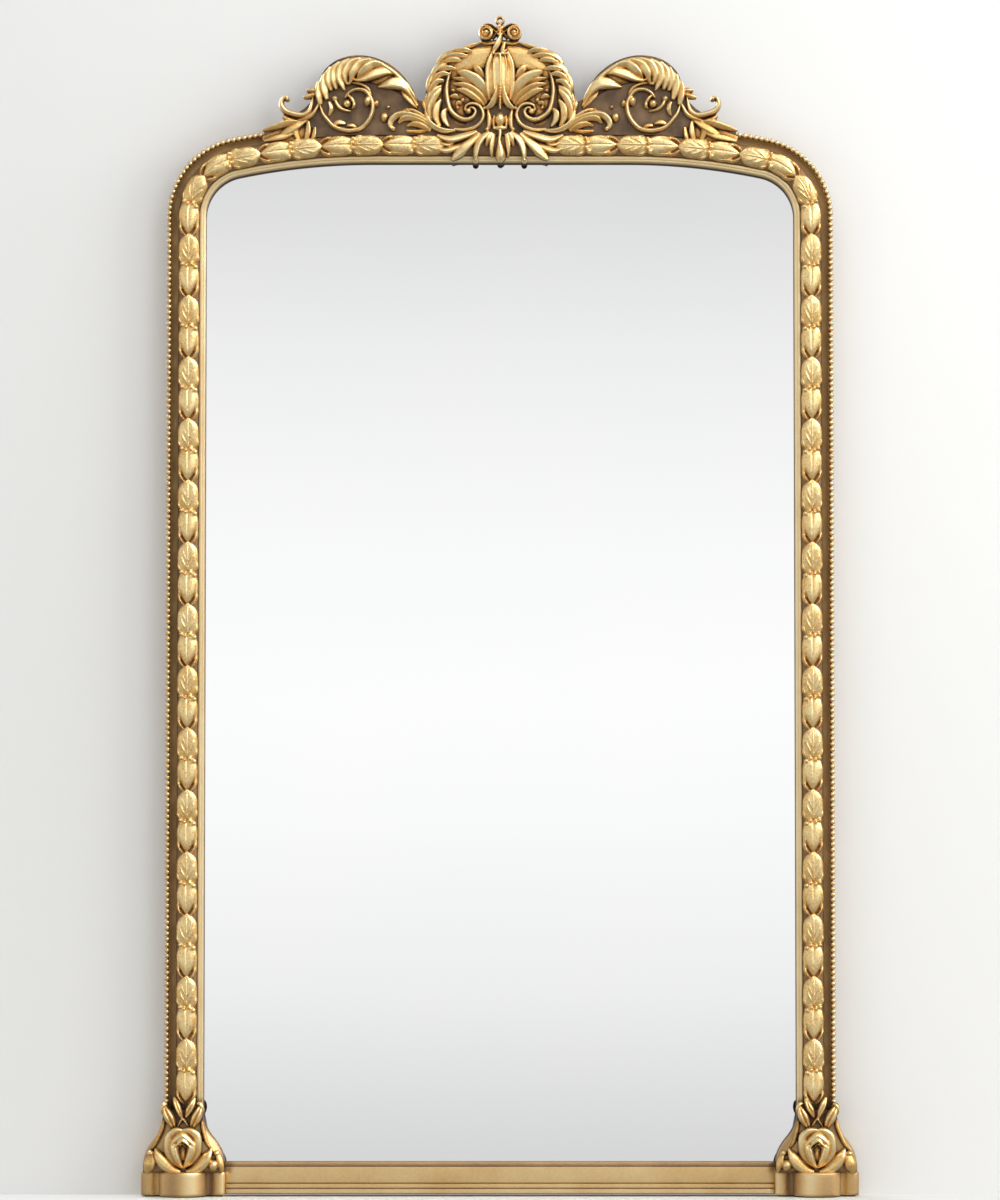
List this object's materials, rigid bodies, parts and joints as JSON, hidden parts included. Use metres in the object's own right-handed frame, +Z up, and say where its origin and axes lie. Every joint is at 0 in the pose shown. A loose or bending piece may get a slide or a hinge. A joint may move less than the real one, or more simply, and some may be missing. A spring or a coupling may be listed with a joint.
{
  "type": "framed wall mirror",
  "caption": "Tall gilt wall mirror with an arched head, beaded laurel moulding, carved scroll crest and rose plinths.",
  "frame": {"origin": "middle of the frame's back face at its underside: X = 0 is the middle, Y = 0 the back face, Z = 0 the underside of the feet", "axes": "+Z up, +Y toward the wall behind the frame, the mirror looks toward -Y"},
  "size_m": [1.106, 0.089, 1.832],
  "materials": {
    "gilt_wood": "water-gilt timber moulding, rubbed and toned",
    "gilt_carving": "gilt cast composition, worn high points, umber in the hollows",
    "umber_ground": "cast composition ground toned dark umber",
    "crest_timber": "stained timber board",
    "silvered_glass": "plain float glass, silvered behind",
    "packing_card": "corrugated packing card",
    "backing_hardboard": "hardboard, rough side out",
    "cork_blocks": "dark setting blocks",
    "beech": "plain beech",
    "zinc_steel": "zinc-plated steel",
    "brass_plate": "brass-plated steel, dulled",
    "black_rubber": "soft moulded rubber",
    "green_felt": "pressed wool felt"
  },
  "bodies": {
    "frame": {"stile_left": "gilt_wood", "stile_right": "gilt_wood", "head_rail": "gilt_wood", "bottom_rail": "gilt_wood", "plinth_left": "gilt_wood", "plinth_right": "gilt_wood", "bead_strip_left": "gilt_carving", "bead_strip_right": "gilt_carving", "head_beads_left": "gilt_carving", "head_beads_right": "gilt_carving", "laurel_left": "gilt_carving", "laurel_right": "gilt_carving", "head_laurel_left": "gilt_carving", "head_laurel_right": "gilt_carving", "rose_left": "gilt_carving", "rose_right": "gilt_carving", "crest_board": "crest_timber", "crest_ground": "umber_ground", "crest_shell": "gilt_carving", "crest_wreath_left": "gilt_carving", "crest_wreath_right": "gilt_carving", "crest_finial": "gilt_carving", "crest_drop": "gilt_carving", "side_scroll_left": "gilt_carving", "side_scroll_right": "gilt_carving", "mirror_plate": "silvered_glass", "glass_cushion": "packing_card", "backing_board": "backing_hardboard", "edge_blocks": "cork_blocks", "joint_dowels": "beech", "button_screws": "zinc_steel", "hanger_strap_left": "brass_plate", "hanger_strap_right": "brass_plate", "hanger_screws": "zinc_steel", "joint_plates": "zinc_steel", "crest_brackets": "zinc_steel", "plate_screws": "zinc_steel", "wall_bumpers": "black_rubber", "felt_pads": "green_felt"},
    "turn_button_1": {"turn_button_1": "zinc_steel"},
    "turn_button_2": {"turn_button_2": "zinc_steel"},
    "turn_button_3": {"turn_button_3": "zinc_steel"},
    "turn_button_4": {"turn_button_4": "zinc_steel"},
    "turn_button_5": {"turn_button_5": "zinc_steel"},
    "turn_button_6": {"turn_button_6": "zinc_steel"},
    "turn_button_7": {"turn_button_7": "zinc_steel"},
    "turn_button_8": {"turn_button_8": "zinc_steel"},
    "d_ring_left": {"d_ring_left": "brass_plate"},
    "d_ring_right": {"d_ring_right": "brass_plate"}
  },
  "joints": [
    {"name": "turn_button_1_pivot", "type": "hinge", "parent": "frame", "child": "turn_button_1", "pos_m": [-0.477, 0.0011, 0.23], "axis": [0, 1, 0], "continuous": true},
    {"name": "turn_button_2_pivot", "type": "hinge", "parent": "frame", "child": "turn_button_2", "pos_m": [-0.477, 0.0011, 0.58], "axis": [0, 1, 0], "continuous": true},
    {"name": "turn_button_3_pivot", "type": "hinge", "parent": "frame", "child": "turn_button_3", "pos_m": [-0.477, 0.0011, 0.93], "axis": [0, 1, 0], "continuous": true},
    {"name": "turn_button_4_pivot", "type": "hinge", "parent": "frame", "child": "turn_button_4", "pos_m": [-0.477, 0.0011, 1.28], "axis": [0, 1, 0], "continuous": true},
    {"name": "turn_button_5_pivot", "type": "hinge", "parent": "frame", "child": "turn_button_5", "pos_m": [0.477, 0.0011, 0.23], "axis": [0, 1, 0], "continuous": true},
    {"name": "turn_button_6_pivot", "type": "hinge", "parent": "frame", "child": "turn_button_6", "pos_m": [0.477, 0.0011, 0.58], "axis": [0, 1, 0], "continuous": true},
    {"name": "turn_button_7_pivot", "type": "hinge", "parent": "frame", "child": "turn_button_7", "pos_m": [0.477, 0.0011, 0.93], "axis": [0, 1, 0], "continuous": true},
    {"name": "turn_button_8_pivot", "type": "hinge", "parent": "frame", "child": "turn_button_8", "pos_m": [0.477, 0.0011, 1.28], "axis": [0, 1, 0], "continuous": true},
    {"name": "d_ring_left_swing", "type": "hinge", "parent": "frame", "child": "d_ring_left", "pos_m": [-0.5, 0.0036, 1.38], "axis": [1, 0, 0], "range_deg": [0, 180]},
    {"name": "d_ring_right_swing", "type": "hinge", "parent": "frame", "child": "d_ring_right", "pos_m": [0.5, 0.0036, 1.38], "axis": [1, 0, 0], "range_deg": [0, 180]}
  ]
}
